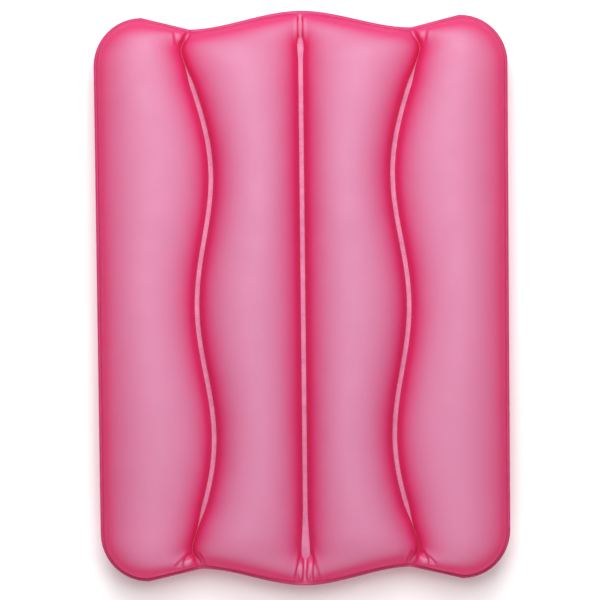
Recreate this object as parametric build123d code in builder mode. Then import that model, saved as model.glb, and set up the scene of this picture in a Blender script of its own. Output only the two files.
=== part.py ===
"""Inflatable four-chamber cushion of thin vinyl film, with a push-in air valve on its underside.

The cushion lies flat: +X across the chambers, +Y along them, +Z up. The origin is the middle
of its underside. All sizes are in millimetres.
"""
import os
from math import cos, pi, sin, sqrt

from build123d import *

os.makedirs("parts", exist_ok=True)

# ---- the inflated envelope ----
overall_length = 380.0
overall_width = 274.0
overall_height = 56.0
film = 0.25                                  # thickness of one sheet
rim_weld_width = 1.8                         # trimmed weld all round the outline
corner_radius = 27.0
end_cap_length = 38.0                        # stretch over which a chamber rounds off to its end
end_crown = 0.05                             # the chambers are closed flat at the rim weld

# ---- the seams that divide the chambers ----
land_width = 3.6                             # flat between two chambers
seam_weld_width = 3.0                        # welded strip inside that flat
seam_mean_offset = 65.5                      # from the centre line to a side seam
seam_wave = 5.6                              # how far a side seam swings each way
seam_wave_length = 180.0
seam_wave_centre = -4.0
seam_flare = 9.5                             # extra outward swing at a side seam's ends
seam_flare_power = 4.5
seam_end = 169.0                             # all three seams stop here, short of the rim
passage_rise = 7.0                           # half the height of the air passage past a seam's end

# ---- the underside ----
resting_flat = 5.0                           # flat along the bottom of each chamber

# ---- the valve, set in the underside of the right inner chamber ----
valve_y = -128.0
flange_radius = 12.0
flange_thickness = 0.8
flange_skirt_wall = 0.8
flange_skirt_height = 3.0
flange_hole_radius = 8.0
stem_radius = 4.5
stem_bore_radius = 3.3
stem_length = 15.0
stem_mouth_z = 2.0                           # the tube's outer end, pushed in
boot_wall = 0.6                              # measured along the tube
boot_root_z = 0.15
boot_neck_z = 5.9
plug_head_radius = 5.0
plug_head_recess = 0.4                       # how far the head sits inside the underside
plug_clearance = 0.05
plug_spigot_length = 6.5
plug_rib = 0.03
plug_nail_groove = 0.5
tether_inner_radius = 5.5
tether_outer_radius = 6.2
tether_low_z = 0.6
tether_high_z = 1.8
tether_anchor_z = 2.8
tether_width = 2.4
flap_radius = 3.9
flap_thickness = 0.5
flap_gap = 0.1
flap_hinge_offset = 3.4                      # from the tube's axis to the flap's hinge line

# ---- values worked out from those above ----
mid_z = overall_height / 2
sheet_end = overall_length / 2 - rim_weld_width
sheet_side = overall_width / 2 - rim_weld_width
cap_start = sheet_end - end_cap_length
corner_start = sheet_end - corner_radius


def side_seam_offset(y):
    """Distance of a side seam's middle from the centre line."""
    along = y - seam_wave_centre
    swing = seam_wave * cos(2 * pi * along / seam_wave_length)
    return seam_mean_offset + swing + seam_flare * (abs(along) / seam_end) ** seam_flare_power


def outer_edge(y):
    """Half the width of the sheets at y, with rounded corners."""
    past = max(0.0, abs(y) - corner_start)
    return sheet_side - corner_radius + sqrt(max(0.0, corner_radius**2 - past**2))


def crown_height(y):
    """Height of a chamber's crown above the weld plane."""
    past = max(0.0, abs(y) - cap_start) / end_cap_length
    return (mid_z - film - end_crown) * sqrt(max(0.0, 1 - past**2)) + film + end_crown


def valley_height(y):
    """Height of the film over a seam line: nothing along the seam, a rise past its end."""
    past = (abs(y) - seam_end) / (sheet_end - seam_end)
    if past <= 0 or past >= 1:
        return 0.0
    return passage_rise * sin(pi * past) ** 0.6


def chamber_edges(y):
    """The left and right edge of each of the four chambers at y."""
    side = side_seam_offset(y)
    edge = outer_edge(y)
    half = land_width / 2
    return [(-edge, -side - half), (-side + half, -half), (half, side - half), (side + half, edge)]


def stations():
    """Where the film's cross sections stand along Y: even in the middle, closer at the ends."""
    middle_count = 9
    cap_count = 9
    middle = [cap_start * step / middle_count for step in range(middle_count)]
    cap = [cap_start + end_cap_length * sin(pi / 2 * step / cap_count) for step in range(cap_count)]
    half = sorted(middle + cap + [seam_end, sheet_end])
    return [-y for y in reversed(half[1:])] + half


def resting_half_width(y):
    """Half the flat at a chamber's bottom, narrowing with the chamber's height."""
    return resting_flat / 2 * crown_height(y) / mid_z


def draw_upper_side(y, inset):
    """One side of the upper film's section, from left to right: arcs over lands."""
    top = crown_height(y) - inset
    valley = valley_height(y) + film - inset
    edges = [(left + inset, right - inset) for left, right in chamber_edges(y)]
    ends = [film - inset, valley, valley, valley, film - inset]
    for index, (left, right) in enumerate(edges):
        start = (left, mid_z + ends[index])
        finish = (right, mid_z + ends[index + 1])
        ThreePointArc(start, ((left + right) / 2, mid_z + top), finish)
        if index < 3:
            Line(finish, (edges[index + 1][0], mid_z + ends[index + 1]))
    return (edges[0][0], mid_z + ends[0]), (edges[-1][1], mid_z + ends[-1])


def draw_lower_side(y, inset):
    """One side of the lower film's section, from left to right: arcs with a resting flat."""
    bottom = mid_z - crown_height(y) + inset
    valley = mid_z - valley_height(y) - film + inset
    rim = mid_z - film + inset
    flat = resting_half_width(y)
    edges = [(left + inset, right - inset) for left, right in chamber_edges(y)]
    ends = [rim, valley, valley, valley, rim]
    for index, (left, right) in enumerate(edges):
        middle = (left + right) / 2
        start = (left, ends[index])
        finish = (right, ends[index + 1])
        TangentArc((middle - flat, bottom), start, tangent=(-1, 0))
        Line((middle - flat, bottom), (middle + flat, bottom))
        TangentArc((middle + flat, bottom), finish, tangent=(1, 0))
        if index < 3:
            Line(finish, (edges[index + 1][0], ends[index + 1]))
    return (edges[0][0], ends[0]), (edges[-1][1], ends[-1])


def film_section(y, draw_side):
    """The closed section of one sheet at y, as a face."""
    with BuildSketch(Plane.XZ.offset(-y)) as section:
        with BuildLine():
            outer_left, outer_right = draw_side(y, 0)
            inner_left, inner_right = draw_side(y, film)
            rim_left = (outer_left[0], inner_left[1])
            rim_right = (outer_right[0], inner_right[1])
            Line(outer_left, rim_left)
            Line(rim_left, inner_left)
            Line(outer_right, rim_right)
            Line(rim_right, inner_right)
        make_face()
    return section.sketch


def seam_points(offset_sign):
    """Points along a seam's middle line: 0 is the centre seam, -1 and 1 the side seams."""
    along = [y for y in stations() if abs(y) <= seam_end]
    return [(offset_sign * side_seam_offset(y), y) for y in along]


def seam_outline(offset_sign):
    """The closed outline of a seam's welded strip, seen from above."""
    half = seam_weld_width / 2
    middle = seam_points(offset_sign)
    right = [(x + half, y) for x, y in middle]
    left = [(x - half, y) for x, y in reversed(middle)]
    return right + left


valve_x = side_seam_offset(valve_y) / 2
valve_place = Plane((valve_x, valve_y, 0))

# ---- welded strips between the chambers ----
seam_signs = {"left_seam_weld": -1, "centre_seam_weld": 0, "right_seam_weld": 1}
seam_welds = []
for seam_name, seam_sign in seam_signs.items():
    with BuildPart() as seam_weld:
        with BuildSketch(Plane.XY.offset(mid_z)):
            with BuildLine():
                Polyline(*seam_outline(seam_sign), close=True)
            make_face()
        extrude(amount=film, both=True)
    seam_weld.part.label = seam_name
    export_step(seam_weld.part, f"parts/{seam_name}.step")
    seam_welds.append(seam_weld.part)

# ---- rim weld all round ----
rim_right = [(outer_edge(y), y) for y in stations()]
rim_left = [(-x, y) for x, y in reversed(rim_right)]
with BuildPart() as perimeter_weld:
    with BuildSketch(Plane.XY.offset(mid_z)):
        with BuildLine() as rim_line:
            Polyline(*rim_right, *rim_left, close=True)
        make_face()
        offset(amount=rim_weld_width)
        make_face(rim_line.edges(), mode=Mode.SUBTRACT)
    extrude(amount=film, both=True)
perimeter_weld.part.label = "perimeter_weld"
export_step(perimeter_weld.part, "parts/perimeter_weld.step")

# ---- upper sheet ----
with BuildPart() as upper_sheet:
    loft([film_section(y, draw_upper_side) for y in stations()], ruled=True)
    add(seam_welds, mode=Mode.SUBTRACT)
upper_sheet.part.label = "upper_sheet"
export_step(upper_sheet.part, "parts/upper_sheet.step")

# ---- lower sheet, with the hole for the valve's flange ----
with BuildPart() as lower_sheet:
    loft([film_section(y, draw_lower_side) for y in stations()], ruled=True)
    add(seam_welds, mode=Mode.SUBTRACT)
    with BuildSketch(valve_place):
        Circle(flange_radius)
    extrude(amount=mid_z / 2, both=True, mode=Mode.SUBTRACT)
lower_sheet.part.label = "lower_sheet"
export_step(lower_sheet.part, "parts/lower_sheet.step")

# ---- valve flange: a ring welded into the film, with a skirt that meets the curved film ----
with BuildPart() as valve_flange:
    with BuildSketch(valve_place):
        Circle(flange_radius)
        Circle(flange_hole_radius, mode=Mode.SUBTRACT)
    extrude(amount=flange_thickness)
    with BuildSketch(valve_place.offset(flange_thickness)):
        Circle(flange_radius)
        Circle(flange_radius - flange_skirt_wall, mode=Mode.SUBTRACT)
    extrude(amount=flange_skirt_height - flange_thickness)
valve_flange.part.label = "valve_flange"
export_step(valve_flange.part, "parts/valve_flange.step")

# ---- the valve's turned pieces are revolved about the tube's axis ----
valve_section = Plane(origin=(valve_x, valve_y, 0), x_dir=(1, 0, 0), z_dir=(0, -1, 0))
valve_axis = Axis((valve_x, valve_y, 0), (0, 0, 1))

# rolling boot: a soft cone from the flange's hole in to the tube
with BuildPart() as valve_boot:
    with BuildSketch(valve_section):
        with BuildLine():
            Polyline(
                (flange_hole_radius, boot_root_z),
                (flange_hole_radius, boot_root_z + boot_wall),
                (stem_radius, boot_neck_z + boot_wall),
                (stem_radius, boot_neck_z),
                close=True,
            )
        make_face()
    revolve(axis=valve_axis)
valve_boot.part.label = "valve_boot"
export_step(valve_boot.part, "parts/valve_boot.step")

# tube that the air goes through
with BuildPart() as valve_stem:
    with BuildSketch(valve_place.offset(stem_mouth_z)):
        Circle(stem_radius)
        Circle(stem_bore_radius, mode=Mode.SUBTRACT)
    extrude(amount=stem_length)
    mouth_edges = valve_stem.faces().sort_by(Axis.Z)[0].edges().sort_by(SortBy.RADIUS)
    chamfer(mouth_edges[0], length=0.3)
valve_stem.part.label = "valve_stem"
export_step(valve_stem.part, "parts/valve_stem.step")

# plug: a head with a groove for a fingernail and a ribbed spigot
spigot_radius = stem_bore_radius - plug_clearance
spigot_end_z = stem_mouth_z + plug_spigot_length
rib_zs = [stem_mouth_z + plug_spigot_length * share for share in (0.3, 0.55, 0.8)]
with BuildPart() as valve_plug:
    with BuildSketch(valve_place.offset(plug_head_recess)):
        Circle(plug_head_radius)
    extrude(amount=stem_mouth_z - plug_head_recess)
    chamfer(valve_plug.faces().sort_by(Axis.Z)[0].edges(), length=0.3)
    with BuildSketch(valve_place.offset(stem_mouth_z)):
        Circle(spigot_radius - plug_rib)
    extrude(amount=plug_spigot_length)
    chamfer(valve_plug.faces().sort_by(Axis.Z)[-1].edges(), length=0.6)
    for rib_z in rib_zs:
        with BuildSketch(valve_place.offset(rib_z)):
            Circle(spigot_radius)
        extrude(amount=0.8, both=True)
    with BuildSketch(valve_place.offset(plug_head_recess)):
        Rectangle(2 * plug_head_radius, plug_nail_groove * 2)
    extrude(amount=plug_nail_groove, mode=Mode.SUBTRACT)
valve_plug.part.label = "valve_plug"
export_step(valve_plug.part, "parts/valve_plug.step")

# tether: a strap curled half round the plug's head, from the head to the tube
with BuildPart() as plug_tether:
    with BuildSketch(valve_place.offset(tether_low_z)):
        Circle(tether_outer_radius)
        Circle(tether_inner_radius, mode=Mode.SUBTRACT)
        with Locations((0, -tether_outer_radius)):
            Rectangle(4 * tether_outer_radius, 2 * tether_outer_radius, mode=Mode.SUBTRACT)
        with BuildLine():
            Polyline(
                (plug_head_radius, 0),
                (tether_outer_radius, 0),
                (tether_outer_radius, tether_width / 2),
                (plug_head_radius, tether_width / 2),
                close=True,
            )
        make_face()
        Circle(plug_head_radius, mode=Mode.SUBTRACT)
    extrude(amount=tether_high_z - tether_low_z)
    with BuildSketch(valve_place.offset(tether_high_z)):
        Circle(tether_outer_radius)
        Circle(tether_inner_radius, mode=Mode.SUBTRACT)
        with Locations((-tether_outer_radius, tether_width / 2)):
            Rectangle(2 * tether_outer_radius, tether_width, mode=Mode.INTERSECT)
    extrude(amount=tether_anchor_z - tether_high_z)
    with BuildSketch(valve_place.offset(stem_mouth_z + 0.1)):
        Circle(tether_outer_radius)
        Circle(stem_radius, mode=Mode.SUBTRACT)
        with Locations((-tether_outer_radius, tether_width / 2)):
            Rectangle(2 * tether_outer_radius, tether_width, mode=Mode.INTERSECT)
    extrude(amount=tether_anchor_z - stem_mouth_z - 0.1)
plug_tether.part.label = "plug_tether"
export_step(plug_tether.part, "parts/plug_tether.step")

# check flap: a disc over the tube's inner end, hinged on its straight edge
flap_z = stem_mouth_z + stem_length + flap_gap
with BuildPart() as check_flap:
    with BuildSketch(valve_place.offset(flap_z)):
        Circle(flap_radius)
        with Locations((flap_hinge_offset + flap_radius, 0)):
            Rectangle(2 * flap_radius, 2 * flap_radius, mode=Mode.SUBTRACT)
    extrude(amount=flap_thickness)
check_flap.part.label = "check_flap"
export_step(check_flap.part, "parts/check_flap.step")

print(f"valve axis at x={valve_x:.2f} y={valve_y:.2f}, flap hinge at "
      f"x={valve_x + flap_hinge_offset:.2f} z={flap_z:.2f}")
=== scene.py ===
"""The looks of the inflatable cushion: film swollen by cloth simulation, welds, valve, light and camera."""
import math

import bmesh
import bpy
import numpy as np
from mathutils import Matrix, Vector


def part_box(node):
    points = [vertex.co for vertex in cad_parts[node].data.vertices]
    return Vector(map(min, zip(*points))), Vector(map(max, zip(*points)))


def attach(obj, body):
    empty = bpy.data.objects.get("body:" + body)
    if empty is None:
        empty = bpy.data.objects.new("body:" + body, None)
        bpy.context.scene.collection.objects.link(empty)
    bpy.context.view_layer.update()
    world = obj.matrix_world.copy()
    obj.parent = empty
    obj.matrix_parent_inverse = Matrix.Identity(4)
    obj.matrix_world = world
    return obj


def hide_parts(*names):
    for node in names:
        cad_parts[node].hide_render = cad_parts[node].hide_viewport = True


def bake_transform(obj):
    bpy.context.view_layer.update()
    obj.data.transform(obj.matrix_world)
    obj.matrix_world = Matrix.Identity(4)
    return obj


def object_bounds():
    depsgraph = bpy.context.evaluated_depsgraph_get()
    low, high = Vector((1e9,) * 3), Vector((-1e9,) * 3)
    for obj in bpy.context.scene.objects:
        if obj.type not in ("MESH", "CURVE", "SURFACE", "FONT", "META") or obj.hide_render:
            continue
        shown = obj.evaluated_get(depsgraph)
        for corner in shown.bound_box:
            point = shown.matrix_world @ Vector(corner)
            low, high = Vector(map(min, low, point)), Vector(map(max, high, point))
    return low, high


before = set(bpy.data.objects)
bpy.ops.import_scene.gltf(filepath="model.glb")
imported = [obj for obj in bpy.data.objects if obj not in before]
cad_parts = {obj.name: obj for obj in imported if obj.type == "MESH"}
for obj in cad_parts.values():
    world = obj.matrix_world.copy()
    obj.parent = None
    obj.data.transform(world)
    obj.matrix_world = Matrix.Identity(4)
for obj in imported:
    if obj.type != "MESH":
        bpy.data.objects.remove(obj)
cad_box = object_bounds()

# ---- places taken from the frame ----
low, high = [Vector(corner) for corner in cad_box]
half_width = (high.x - low.x) / 2
half_length = (high.y - low.y) / 2
half_height = (high.z - low.z) / 2
mid_z = (low.z + high.z) / 2
rim_low, rim_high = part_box("perimeter_weld")
seam_low, seam_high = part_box("centre_seam_weld")
sheet_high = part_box("upper_sheet")[1]
flange_low, flange_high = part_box("valve_flange")
weld_thickness = rim_high.z - rim_low.z
weld_width = seam_high.x - seam_low.x
rim_width = half_width - sheet_high.x
valve_x = (flange_low.x + flange_high.x) / 2
valve_y = (flange_low.y + flange_high.y) / 2
flange_radius = (flange_high.x - flange_low.x) / 2

# ---- the outline and the seams, in metres ----
# Dictionaries are keyed 1 for the head end, which is towards +Y, and -1 for the foot end.
lean = 0.0105                        # radians about +Z
foot_taper = 0.013                   # the foot end is narrower by this share
seam_mean = 0.0652                   # from the middle to a side seam
seam_wave = 0.0054                   # how far a side seam swings each way
seam_wave_length = 0.180
seam_wave_centre = -0.005
seam_flare = 0.0095                  # how far a side seam flares out towards its ends
seam_flare_power = 4.5
seam_reach = 0.170
seam_stop = 0.169                    # all three seams stop here
fold_turn = 0.0075                   # a side seam's last stretch turns back in by this
bend_start = 0.163                   # from here on
fold_width = 0.04                    # the fold's width at the rim, as a share of the weld's
centre_spread = {1: (0.155, 0.45), -1: (0.138, 0.85)}  # the centre strip widens from Y, by a share
side_pinch = {1: (0.139, 0.96), -1: (0.135, 0.96)}     # the side strips narrow from Y, by a share
pinch_length = 0.017                 # over this length
centre_end = half_length - rim_width  # Y of the rim's inner edge beyond the centre seam,
side_end = 0.1765                    # beyond a side seam
lobe_end = 0.1845                    # and where the round corners end
corner_radius = 0.030

# ---- the film's grid: rows along Y, columns across each chamber ----
row_count = 121
column_count = 19
column_crowding = 0.6                # 0 spaces the columns evenly, 1 crowds them to the seams
stop_row = 0.92                      # the seams stop at this share of the rows
corner_row = 0.80                    # the corners start at this one
cap_row = 0.84                       # and the chambers' end caps at this one
centre_passage = 0.0055              # the film's height where air passes round the centre seam's ends
side_passage = 0.0022                # and round the side seams' ends
row_share = np.linspace(-1, 1, row_count)
same_row = 1e-6                      # tolerance when rows are compared with stop_row

# ---- the air ----
start_height = 0.97                  # the chambers start at this share of their full height
air_pressure = 9.0
sim_frames = 16


def smooth(t):
    """Eases from 0 to 1 as t goes from 0 to 1, and is flat on both sides of that."""
    t = np.clip(t, 0.0, 1.0)
    return t * t * (3 - 2 * t)


def along(stop, finish):
    """Y at each row, even up to the seam's end and then on to the rim, and how far past the end."""
    share = np.abs(row_share)
    past = np.clip((share - stop_row) / (1 - stop_row), 0, 1)
    y = np.where(share <= stop_row, share / stop_row * stop, stop + past * (finish - stop))
    return np.sign(row_share) * y, past


def seam_offset(y):
    """Distance of a side seam's middle from the centre seam."""
    from_centre = np.clip(y, -seam_stop, seam_stop) - seam_wave_centre
    swing = seam_wave * np.cos(2 * math.pi * from_centre / seam_wave_length)
    flare = seam_flare * (np.abs(from_centre) / seam_reach) ** seam_flare_power
    turn = fold_turn * smooth((np.abs(y) - bend_start) / (side_end - bend_start))
    return seam_mean + swing + flare - turn


def side_seam(side, edge):
    """One edge of a side seam's strip: side is -1 or 1, edge is -1 inwards or 1 outwards."""
    y, _ = along(seam_stop, side_end)
    x = seam_offset(y)
    half = weld_width / 2 * np.ones(row_count)
    for end, (start, share) in side_pinch.items():
        half *= 1 - share * smooth((end * y - start) / pinch_length)
    return side * (x + edge * half), y


def centre_seam(edge):
    """One edge of the centre seam's strip: edge is -1 left or 1 right."""
    y, past = along(seam_stop, centre_end)
    half = weld_width / 2 * np.ones(row_count)
    for end, (start, share) in centre_spread.items():
        half *= 1 + share * smooth((end * y - start) / (seam_stop - start))
    return edge * half * (1 - (1 - fold_width) * smooth(past * 2)), y


def outer_side(side):
    """The straight side of the sheets and the round corners at both its ends."""
    share = np.abs(row_share)
    turn = np.clip((share - corner_row) / (1 - corner_row), 0, 1) * math.pi / 2
    straight = lobe_end - corner_radius
    x = half_width - rim_width - corner_radius * (1 - np.cos(turn))
    rounded = straight + corner_radius * np.sin(turn)
    y = np.where(share <= corner_row, share / corner_row * straight, rounded)
    return side * x, np.sign(row_share) * y


def film_grid():
    """Plan x and y, height over the welds, and each column's chamber, for one layer of film."""
    borders = [
        (outer_side(-1), side_seam(-1, 1)),
        (side_seam(-1, -1), centre_seam(-1)),
        (centre_seam(1), side_seam(1, -1)),
        (side_seam(1, 1), outer_side(1)),
    ]
    past_seam = np.clip((np.abs(row_share) - stop_row) / (1 - stop_row), 0, 1)
    passage = np.sin(math.pi * past_seam)
    past_cap = np.clip((np.abs(row_share) - cap_row) / (1 - cap_row), 0, 1)
    cap = np.sqrt(1 - past_cap**2)
    xs, ys, zs, chambers = [], [], [], []
    for chamber, ((left_x, left_y), (right_x, right_y)) in enumerate(borders):
        for step in range(column_count):
            even = step / (column_count - 1)
            crowded = (1 - math.cos(math.pi * even)) / 2
            across = even + column_crowding * (crowded - even)
            ease = smooth(across) if chamber in (1, 2) else across
            xs.append(left_x + (right_x - left_x) * across)
            ys.append(left_y + (right_y - left_y) * ease)
            dome = start_height * half_height * cap * math.sqrt(4 * across * (1 - across))
            inwards = across if chamber < 2 else 1 - across
            if chamber in (1, 2):
                rise = side_passage + (centre_passage - side_passage) * inwards
            else:
                rise = side_passage * smooth(inwards)
            zs.append(np.hypot(dome, rise * passage))
            chambers.append(chamber)
    return np.array(xs), np.array(ys), np.array(zs), chambers


def new_object(name, points, faces):
    """A mesh object made from points and faces."""
    mesh = bpy.data.meshes.new(name)
    mesh.from_pydata([tuple(p) for p in points], [], faces)
    mesh.validate()
    made = bpy.data.objects.new(name, mesh)
    bpy.context.scene.collection.objects.link(made)
    return made


def vertex_positions(made):
    """The mesh's points, one row each."""
    co = np.empty(len(made.data.vertices) * 3)
    made.data.vertices.foreach_get("co", co)
    return co.reshape(-1, 3)


def inflate(xs, ys, zs, chambers):
    """Swells one layer of film, held at its welds; returns its points and the grid of their numbers."""
    count = len(chambers)
    index = np.arange(count * row_count).reshape(count, row_count)
    faces = [
        (int(index[c, r]), int(index[c + 1, r]), int(index[c + 1, r + 1]), int(index[c, r + 1]))
        for c in range(count - 1) for r in range(row_count - 1)
    ]
    points = np.stack([xs, ys, zs], -1)
    held = np.zeros((count, row_count), bool)
    held[[0, -1], :] = True
    held[:, [0, -1]] = True
    seam_rows = np.abs(row_share) <= stop_row + same_row
    for c in range(1, count - 1):
        if c % column_count in (0, column_count - 1):
            held[c] |= seam_rows
    layer = new_object("film_in_the_making", points.reshape(-1, 3), faces)
    layer.vertex_groups.new(name="welds").add([int(k) for k in index[held]], 1.0, "REPLACE")
    cloth = layer.modifiers.new("air", "CLOTH")
    settings = cloth.settings
    settings.quality = 6
    settings.mass = 0.1
    settings.tension_stiffness = 60
    settings.compression_stiffness = 60
    settings.shear_stiffness = 20
    settings.bending_stiffness = 0.05
    settings.air_damping = 2
    settings.use_pressure = True
    settings.uniform_pressure_force = air_pressure
    settings.vertex_group_mass = "welds"
    settings.effector_weights.gravity = 0
    for step in range(1, sim_frames + 1):
        bpy.context.scene.frame_set(step)
    done = layer.evaluated_get(bpy.context.evaluated_depsgraph_get()).to_mesh()
    co = np.empty(len(done.vertices) * 3)
    done.vertices.foreach_get("co", co)
    bpy.data.objects.remove(layer)
    bpy.context.scene.frame_set(1)
    return co.reshape(count, row_count, 3), index


def lean_over(x, y):
    """Where a plan point goes once the cushion narrows to its foot and leans."""
    narrow = 1 - foot_taper * (0.5 - 0.5 * y / half_length)
    return x * narrow - lean * y, y + lean * x


def settle(points, side):
    """Puts a layer in its place: side is 1 for the upper film and -1 for the lower one."""
    placed = points.copy()
    placed[..., 0], placed[..., 1] = lean_over(points[..., 0], points[..., 1])
    placed[..., 2] = mid_z + side * points[..., 2]
    if side < 0:
        placed[..., 2] = np.maximum(placed[..., 2], low.z)
    return placed


def strip_faces(index, first_column, last_column, rows, flip=False):
    """The grid's faces between two columns, at these rows; flip turns them over."""
    faces = []
    for c in range(first_column, last_column):
        for r in rows:
            corners = [index[c, r], index[c + 1, r], index[c + 1, r + 1], index[c, r + 1]]
            faces.append(tuple(int(k) for k in (reversed(corners) if flip else corners)))
    return faces


def film_faces(index, chambers, flip):
    """All of a layer's faces but the welded strips between its chambers."""
    faces = []
    for c in range(len(chambers) - 1):
        if chambers[c] == chambers[c + 1]:
            rows = range(row_count - 1)
        else:
            rows = [r for r in range(row_count - 1)
                    if min(abs(row_share[r]), abs(row_share[r + 1])) >= stop_row - same_row]
        faces += strip_faces(index, c, c + 1, rows, flip)
    return faces


def drop_loose(made):
    """Deletes points that no face uses."""
    work = bmesh.new()
    work.from_mesh(made.data)
    bmesh.ops.delete(work, geom=[p for p in work.verts if not p.link_faces], context="VERTS")
    work.to_mesh(made.data)
    work.free()


def refine(made, levels):
    """Applies a subdivision surface, and shades smooth."""
    step = made.modifiers.new("refine", "SUBSURF")
    step.levels = step.render_levels = levels
    apply_modifiers(made)
    made.data.shade_smooth()


def apply_modifiers(made):
    """Replaces the mesh by what its modifiers make of it."""
    evaluated = made.evaluated_get(bpy.context.evaluated_depsgraph_get())
    done = bpy.data.meshes.new_from_object(evaluated)
    made.modifiers.clear()
    made.data = done


def thicken(made):
    """Gives a flat band the thickness of a weld."""
    shell = made.modifiers.new("shell", "SOLIDIFY")
    shell.thickness = weld_thickness
    shell.offset = 0
    apply_modifiers(made)


# ---- creases in the film past the seams' ends ----
# Each is an offset across X at the seam's end, one at the rim, and a depth; keyed by end as above.
crease_width = 0.0012
crease_run_in = 0.35                 # a crease starts before the seam's end, by this share of its length
crease_ease_in = 0.5                 # deepens over this share
crease_stop = 1.02                   # is gone just past the rim's edge
crease_ease_out = 0.25               # and fades over this share before that
crease_lip_offset = 2.2              # raised lips run on both sides, this many widths off
crease_lip_share = 0.3               # and this share of the depth high
full_crease_height = 0.004           # creases fade where the film is closer to the welds' level than this
crease_zone = 0.026                  # the film is finer within this distance of a point past a seam's end
crease_zone_shift = 0.006            # which is this far past it
centre_creases = {
    1: [(0.0, 0.0, 0.0032)],
    -1: [(0.0, -0.0010, 0.0018), (-0.0026, -0.0070, 0.0014),
         (0.0026, 0.0040, 0.0014), (0.0038, 0.0092, 0.0009)],
}
side_creases = {
    1: [(0.0, -0.0040, 0.0012), (0.0034, 0.0046, 0.0009)],
    -1: [(0.0, -0.0040, 0.0012), (0.0028, 0.0066, 0.0015),
         (0.0040, 0.0120, 0.0012), (-0.0035, -0.0070, 0.0014)],
}


def seam_ends():
    """Each seam end's place in plan before the lean, the rim's Y beyond it, and its creases."""
    for end in (1, -1):
        yield Vector((0, end * seam_stop)), end * centre_end, 1, centre_creases[end]
        for side in (-1, 1):
            place = Vector((side * float(seam_offset(np.float64(end * seam_stop))), end * seam_stop))
            yield place, end * side_end, side, side_creases[end]


def refine_near_seam_ends(made):
    """Splits the faces round each seam's end once more, so that fine creases have points to move."""
    work = bmesh.new()
    work.from_mesh(made.data)
    centres = [Vector(lean_over(place.x, place.y + math.copysign(crease_zone_shift, place.y)))
               for place, *_ in seam_ends()]
    edges = [e for e in work.edges
             if any(((e.verts[0].co.xy + e.verts[1].co.xy) / 2 - c).length < crease_zone for c in centres)]
    bmesh.ops.subdivide_edges(work, edges=edges, cuts=1, use_grid_fill=True, smooth=0.0)
    work.to_mesh(made.data)
    work.free()
    made.data.shade_smooth()


def crease(made, side):
    """Presses fine creases into a layer, along its normals: side is 1 for the upper film, -1 below."""
    co = vertex_positions(made)
    outward = np.empty(co.size)
    made.data.vertex_normals.foreach_get("vector", outward)
    outward = outward.reshape(-1, 3)
    outward *= np.sign(outward[:, 2].sum() * side)
    for place, rim_y, mirror, creases in seam_ends():
        for near, far, depth in creases:
            start = np.array(lean_over(place.x + mirror * near, place.y))
            finish = np.array(lean_over(place.x + mirror * far, rim_y))
            run = finish - start
            share = ((co[:, :2] - start) @ run) / (run @ run)
            nearest = start + np.clip(share, -crease_run_in, 1.0)[:, None] * run
            gap = np.linalg.norm(co[:, :2] - nearest, axis=1) / crease_width
            fade = smooth((share + crease_run_in) / crease_ease_in)
            fade *= smooth((crease_stop - share) / crease_ease_out)
            lips = np.exp(-((gap - crease_lip_offset) ** 2))
            groove = np.exp(-(gap**2)) - crease_lip_share * lips
            rise = np.clip(np.abs(co[:, 2] - mid_z) / full_crease_height, 0, 1)
            co -= outward * (depth * groove * fade * rise)[:, None]
    made.data.vertices.foreach_set("co", co.ravel())
    made.data.update()


def cut_valve_hole(made):
    """Opens the lower film round the valve's flange, whose skirt it meets."""
    work = bmesh.new()
    work.from_mesh(made.data)
    axis = Vector((valve_x, valve_y, 0))
    inside = {p for p in work.verts if (p.co.xy - axis.xy).length < flange_radius}
    faces = [f for f in work.faces if any(p in inside for p in f.verts)]
    edge_points = {p for f in faces for p in f.verts} - inside
    bmesh.ops.delete(work, geom=faces, context="FACES")
    for p in edge_points:
        ray = (p.co.xy - axis.xy).normalized() * flange_radius
        p.co.x, p.co.y = axis.x + ray.x, axis.y + ray.y
        p.co.z = min(p.co.z, flange_high.z - weld_thickness)
    bmesh.ops.delete(work, geom=[p for p in work.verts if not p.link_faces], context="VERTS")
    work.to_mesh(made.data)
    work.free()


xs, ys, zs, chambers = film_grid()
swollen, index = inflate(xs, ys, zs, chambers)
upper_points = settle(swollen, 1)
lower_points = settle(swollen, -1)

upper_film = new_object("upper_film", upper_points.reshape(-1, 3), film_faces(index, chambers, True))
lower_film = new_object("lower_film", lower_points.reshape(-1, 3), film_faces(index, chambers, False))
for layer, side in ((upper_film, 1), (lower_film, -1)):
    drop_loose(layer)
    refine(layer, 1)
    refine_near_seam_ends(layer)
    crease(layer, side)
cut_valve_hole(lower_film)

# ---- seam welds ----
strip_least_half = 0.0009            # half a strip's width where the chambers bulge over it
strip_reach = 0.035                  # how far a strip runs on under the film past its end, in row shares
seam_rows = [r for r in range(row_count - 1)
             if max(abs(row_share[r]), abs(row_share[r + 1])) <= stop_row + strip_reach]
seams = []
# Each strip is as wide as the gap between its chambers, and nowhere narrower than the least width.
strip_points = upper_points.copy()
strip_points[..., 2] = mid_z
for border in range(column_count - 1, len(chambers) - 1, column_count):
    middle = (strip_points[border] + strip_points[border + 1]) / 2
    spread_out = strip_points[border + 1] - middle
    wide = np.maximum(np.linalg.norm(spread_out, axis=1), strip_least_half)[:, None]
    spread_out *= wide / np.linalg.norm(spread_out, axis=1)[:, None]
    strip_points[border], strip_points[border + 1] = middle - spread_out, middle + spread_out
for number, name in enumerate(("left_seam", "centre_seam", "right_seam"), start=1):
    column = number * column_count - 1
    faces = strip_faces(index, column, column + 1, seam_rows, True)
    seam = new_object(name, strip_points.reshape(-1, 3), faces)
    drop_loose(seam)
    thicken(seam)
    seams.append(seam)

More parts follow.
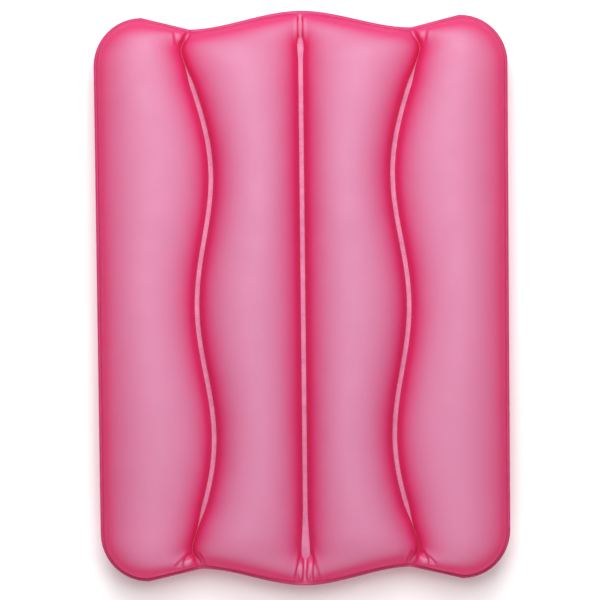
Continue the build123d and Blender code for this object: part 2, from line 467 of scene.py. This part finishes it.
# ---- rim weld ----
rim_tuck = 0.0008                    # how far the band runs in under the film's edge
rim_loop = [index[c, 0] for c in range(len(chambers))]
rim_loop += [index[-1, r] for r in range(1, row_count)]
rim_loop += [index[c, -1] for c in reversed(range(len(chambers) - 1))]
rim_loop += [index[0, r] for r in reversed(range(1, row_count - 1))]
rim_inner = upper_points.reshape(-1, 3)[rim_loop]
tangent = np.roll(rim_inner, -1, 0) - np.roll(rim_inner, 1, 0)
outward = np.stack([tangent[:, 1], -tangent[:, 0], 0 * tangent[:, 2]], -1)
outward /= np.linalg.norm(outward, axis=1)[:, None]
rim_outer = rim_inner + outward * rim_width
rim_inner = rim_inner - outward * rim_tuck
size = len(rim_loop)
rim_faces = [(k, (k + 1) % size, (k + 1) % size + size, k + size) for k in range(size)]
rim = new_object("rim", np.concatenate([rim_inner, rim_outer]), rim_faces)
thicken(rim)
rim.data.shade_smooth()


# ---- valve ----
def lathe(name, profile, steps=64):
    """A closed profile of (radius, height) turned about the valve's axis."""
    points, faces = [], []
    for k in range(steps):
        turn = 2 * math.pi * k / steps
        for radius, height in profile:
            points.append((valve_x + radius * math.cos(turn), valve_y + radius * math.sin(turn), height))
    size = len(profile)
    for k in range(steps):
        for j in range(size):
            here, there = k * size, (k + 1) % steps * size
            faces.append((here + j, there + j, there + (j + 1) % size, here + (j + 1) % size))
    made = new_object(name, points, faces)
    made.data.shade_smooth()
    return made


stem_low, stem_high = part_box("valve_stem")
boot_low, boot_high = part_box("valve_boot")
tether_low, tether_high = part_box("plug_tether")
stem_radius = (stem_high.x - stem_low.x) / 2
boot_radius = (boot_high.x - boot_low.x) / 2
boot_wall = 0.0004
boot_steps = 14
boot_rise_power = 1.3                # above 1 the web rises later on its way inwards


def boot_profile():
    """The outline of a soft web that rises from the flange, rolls inwards and meets the tube along it."""
    middle = []
    climb = boot_high.z - boot_low.z - 2 * boot_wall
    for k in range(boot_steps + 1):
        share = k / boot_steps
        radius = boot_radius + (stem_radius - boot_radius) * smooth(share)
        height = boot_low.z + boot_wall + climb * share**boot_rise_power
        middle.append(Vector((float(radius), height)))
    sides = ([], [])
    for k, point in enumerate(middle):
        run = middle[min(k + 1, boot_steps)] - middle[max(k - 1, 0)]
        across = Vector((run.y, -run.x)).normalized() * boot_wall / 2
        sides[0].append(point + across)
        sides[1].append(point - across)
    return [tuple(p) for p in sides[0]] + [tuple(p) for p in reversed(sides[1])]


boot = lathe("rolling_boot", boot_profile())
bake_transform(boot)
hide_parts("valve_boot")

# ---- tether: a flat strap half round the plug's head, from the head to the tube ----
tether_radius = (tether_high.x - tether_low.x) / 2
tether_wall = 0.0007
tether_depth = 0.0010
tether_low_mid = 0.0006              # the strap's middle above the tether's lowest point at the plug
tether_high_mid = 0.0004             # and below its highest point at the tube
tether_lift_start = 0.75             # the strap climbs to the tube from this share of its way on
plug_bite = 0.0002                   # how far the strap's end runs into the plug
stem_bite = 0.0001                   # and into the tube
plug_radius = (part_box("valve_plug")[1].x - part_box("valve_plug")[0].x) / 2
tether_steps = 36


def strap_route():
    """Points of the strap's middle line, from the plug to the tube."""
    ring = tether_radius - tether_wall / 2
    low_z = tether_low.z + tether_low_mid
    high_z = tether_high.z - tether_high_mid
    route = [(plug_radius - plug_bite, 0.0, low_z)]
    for k in range(tether_steps + 1):
        turn = math.pi * k / tether_steps
        lift = smooth((k / tether_steps - tether_lift_start) / (1 - tether_lift_start))
        route.append((ring * math.cos(turn), ring * math.sin(turn), low_z + (high_z - low_z) * float(lift)))
    route.append((-stem_radius + stem_bite, 0.0, high_z))
    return [Vector((valve_x + x, valve_y + y, z)) for x, y, z in route]


def strap(name, route, wall, height):
    """A flat strap with its corners cut, along a route."""
    ring = [(-0.5, -0.3), (-0.3, -0.5), (0.3, -0.5), (0.5, -0.3),
            (0.5, 0.3), (0.3, 0.5), (-0.3, 0.5), (-0.5, 0.3)]
    points, faces = [], []
    for k, place in enumerate(route):
        run = route[min(k + 1, len(route) - 1)] - route[max(k - 1, 0)]
        across = Vector((run.y, -run.x, 0)).normalized()
        points += [place + across * (wall * a) + Vector((0, 0, height * b)) for a, b in ring]
    size = len(ring)
    for k in range(len(route) - 1):
        for j in range(size):
            a, b = k * size + j, k * size + (j + 1) % size
            faces.append((a, b, b + size, a + size))
    faces.append(tuple(reversed(range(size))))
    faces.append(tuple(range((len(route) - 1) * size, len(route) * size)))
    made = new_object(name, points, faces)
    made.data.shade_smooth()
    return made


tether = strap("tether", strap_route(), tether_wall, tether_depth)
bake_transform(tether)
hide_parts("plug_tether")


# ---- materials ----
rib_scale = 320                      # wave texture scale for ribs about a millimetre apart


def material(name):
    """A new node material, with its nodes, links and Principled shader."""
    made = bpy.data.materials.new(name)
    made.use_nodes = True
    nodes = made.node_tree.nodes
    shader = nodes["Principled BSDF"]
    return made, nodes, made.node_tree.links, shader


def noise(nodes, links, scale, detail):
    """A noise pattern in the piece's own metres; scale is waves per metre."""
    place = nodes.new("ShaderNodeTexCoord")
    pattern = nodes.new("ShaderNodeTexNoise")
    pattern.inputs["Scale"].default_value = scale
    pattern.inputs["Detail"].default_value = detail
    links.new(place.outputs["Object"], pattern.inputs["Vector"])
    return pattern.outputs["Fac"]


def spread(nodes, links, source, low_value, high_value):
    """Maps the middle of a noise pattern's range to these values."""
    ramp = nodes.new("ShaderNodeMapRange")
    ramp.inputs["From Min"].default_value = 0.3
    ramp.inputs["From Max"].default_value = 0.7
    ramp.inputs["To Min"].default_value = low_value
    ramp.inputs["To Max"].default_value = high_value
    links.new(source, ramp.inputs["Value"])
    return ramp.outputs["Result"]


def cloudy_colour(nodes, links, thin, thick, scale):
    """Two tints of one vinyl, blended as the film's thickness wanders."""
    mix = nodes.new("ShaderNodeMix")
    mix.data_type = "RGBA"
    mix.inputs["A"].default_value = thin
    mix.inputs["B"].default_value = thick
    links.new(spread(nodes, links, noise(nodes, links, scale, detail=3), 0.0, 1.0), mix.inputs["Factor"])
    return mix.outputs["Result"]


def relief(nodes, links, heights, depth, strength):
    """A bump of so many metres' depth; returns its normal."""
    bump = nodes.new("ShaderNodeBump")
    bump.inputs["Strength"].default_value = strength
    bump.inputs["Distance"].default_value = depth
    links.new(heights, bump.inputs["Height"])
    return bump.outputs["Normal"]


def film_material():
    """Tinted vinyl that lets light through, under a broad satin gloss that fades at grazing angles."""
    made, nodes, links, shader = material("film")
    grain = relief(nodes, links, noise(nodes, links, scale=1600, detail=4), depth=0.00004, strength=0.35)
    shader.inputs["IOR"].default_value = 1.3
    shader.inputs["Specular IOR Level"].default_value = 0.1
    tint = cloudy_colour(nodes, links, (0.86, 0.024, 0.25, 1), (0.82, 0.017, 0.23, 1), scale=28)
    links.new(tint, shader.inputs["Base Color"])
    wander = noise(nodes, links, scale=90, detail=3)
    links.new(spread(nodes, links, wander, 0.40, 0.50), shader.inputs["Roughness"])
    through = nodes.new("ShaderNodeBsdfTranslucent")
    through.inputs["Color"].default_value = (0.96, 0.010, 0.19, 1)
    body = nodes.new("ShaderNodeMixShader")
    body.inputs["Fac"].default_value = 0.5
    satin = nodes.new("ShaderNodeBsdfAnisotropic")
    satin.inputs["Color"].default_value = (0.38, 0.92, 1.0, 1)
    slow_wander = noise(nodes, links, scale=60, detail=2)
    links.new(spread(nodes, links, slow_wander, 0.75, 0.81), satin.inputs["Roughness"])
    facing = nodes.new("ShaderNodeLayerWeight")
    facing.inputs["Blend"].default_value = 0.5
    gloss = nodes.new("ShaderNodeMapRange")
    gloss.interpolation_type = "SMOOTHSTEP"
    gloss.inputs["From Min"].default_value = 0.05
    gloss.inputs["From Max"].default_value = 0.62
    gloss.inputs["To Min"].default_value = 0.195
    gloss.inputs["To Max"].default_value = 0.04
    mix = nodes.new("ShaderNodeMixShader")
    for lobe in (shader, through, satin):
        links.new(grain, lobe.inputs["Normal"])
    links.new(facing.outputs["Facing"], gloss.inputs["Value"])
    links.new(gloss.outputs["Result"], mix.inputs["Fac"])
    links.new(shader.outputs["BSDF"], body.inputs[1])
    links.new(through.outputs["BSDF"], body.inputs[2])
    links.new(body.outputs["Shader"], mix.inputs[1])
    links.new(satin.outputs["BSDF"], mix.inputs[2])
    links.new(mix.outputs["Shader"], nodes["Material Output"].inputs["Surface"])
    return made


def weld_material(name, thin, thick):
    """Two films melted together, with the fine cross ribs that the welding tool presses in."""
    made, nodes, links, shader = material(name)
    links.new(cloudy_colour(nodes, links, thin, thick, scale=160), shader.inputs["Base Color"])
    wander = noise(nodes, links, scale=500, detail=2)
    links.new(spread(nodes, links, wander, 0.42, 0.58), shader.inputs["Roughness"])
    shader.inputs["Specular IOR Level"].default_value = 0.3
    place = nodes.new("ShaderNodeTexCoord")
    ribs = nodes.new("ShaderNodeTexWave")
    ribs.bands_direction = "Y"
    ribs.inputs["Scale"].default_value = rib_scale
    ribs.inputs["Distortion"].default_value = 0.4
    links.new(place.outputs["Object"], ribs.inputs["Vector"])
    pressed = relief(nodes, links, ribs.outputs["Fac"], depth=0.00015, strength=0.4)
    links.new(pressed, shader.inputs["Normal"])
    return made


def valve_material():
    """Cloudy soft vinyl, clearer and thicker than the film."""
    made, nodes, links, shader = material("soft_vinyl")
    tint = cloudy_colour(nodes, links, (0.84, 0.52, 0.62, 1), (0.76, 0.42, 0.54, 1), scale=220)
    links.new(tint, shader.inputs["Base Color"])
    wander = noise(nodes, links, scale=400, detail=2)
    links.new(spread(nodes, links, wander, 0.28, 0.40), shader.inputs["Roughness"])
    grain = relief(nodes, links, noise(nodes, links, scale=900, detail=3), depth=0.0001, strength=0.15)
    links.new(grain, shader.inputs["Normal"])
    shader.inputs["IOR"].default_value = 1.53
    shader.inputs["Subsurface Weight"].default_value = 0.3
    shader.inputs["Subsurface Radius"].default_value = (0.0015, 0.0008, 0.0010)
    shader.inputs["Subsurface Scale"].default_value = 1.0
    return made


film_look = film_material()
weld_look = weld_material("weld", (0.54, 0.19, 0.32, 1), (0.46, 0.13, 0.26, 1))
# The rim weld's deep crimson, darker than the seam welds' pink, is painted shade: it stands for the dark
# outline where the film turns away from the light.
rim_look_with_painted_shade = weld_material("rim_weld_painted_shade", (0.56, 0.040, 0.16, 1), (0.48, 0.030, 0.13, 1))
valve_look = valve_material()
cad_valve = [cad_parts[name] for name in ("valve_flange", "valve_stem", "valve_plug", "check_flap")]
looks = [(valve_look, [boot, tether] + cad_valve), (film_look, [upper_film, lower_film]),
         (weld_look, seams), (rim_look_with_painted_shade, [rim])]
for look, pieces in looks:
    for made in pieces:
        made.data.materials.clear()
        made.data.materials.append(look)

for made, node in (
    (upper_film, "upper_sheet"),
    (lower_film, "lower_sheet"),
    (rim, "perimeter_weld"),
    (seams[0], "left_seam_weld"),
    (seams[1], "centre_seam_weld"),
    (seams[2], "right_seam_weld"),
):
    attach(made, "cushion")
    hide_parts(node)

# ---- floor, light and camera ----
floor_gap = 0.0005                   # between the cushion's lowest point and the floor
bpy.ops.mesh.primitive_plane_add(size=6, location=(0, 0, low.z - floor_gap))
floor = bpy.context.object
floor.name = "floor"
floor_look, nodes, links, shader = material("floor")
shader.inputs["Base Color"].default_value = (0.97, 0.97, 0.97, 1)
shader.inputs["Roughness"].default_value = 0.9
floor.data.materials.append(floor_look)


def area_light(name, place, target, size, power):
    """A rectangular lamp at a place, aimed at a target."""
    data = bpy.data.lights.new(name, "AREA")
    data.shape = "RECTANGLE"
    data.size, data.size_y = size
    data.energy = power
    made = bpy.data.objects.new(name, data)
    bpy.context.scene.collection.objects.link(made)
    made.location = place
    made.rotation_euler = (Vector(target) - Vector(place)).to_track_quat("-Z", "Y").to_euler()
    return made


area_light("overhead", place=(0, 0.42, 0.95), target=(0, 0.03, 0), size=(0.7, 1.0), power=15)
area_light("foot_fill", place=(0, -1.2, 0.75), target=(0, 0, 0), size=(1.2, 0.8), power=5.5)

world = bpy.data.worlds.new("studio")
world.use_nodes = True
world.node_tree.nodes["Background"].inputs["Color"].default_value = (1, 1, 1, 1)
world.node_tree.nodes["Background"].inputs["Strength"].default_value = 0.26
bpy.context.scene.world = world
bpy.context.scene.view_settings.view_transform = "Standard"

frame_width = 0.3968                 # what the picture takes in at the height of the welds
camera_height = 2.5                  # above the welds
camera_x, camera_y = -0.002, -0.0013
camera_data = bpy.data.cameras.new("camera")
camera_data.sensor_width = 36
camera_data.lens = camera_data.sensor_width * camera_height / frame_width
camera = bpy.data.objects.new("camera", camera_data)
camera.location = (camera_x, camera_y, mid_z + camera_height)
bpy.context.scene.collection.objects.link(camera)
bpy.context.scene.camera = camera
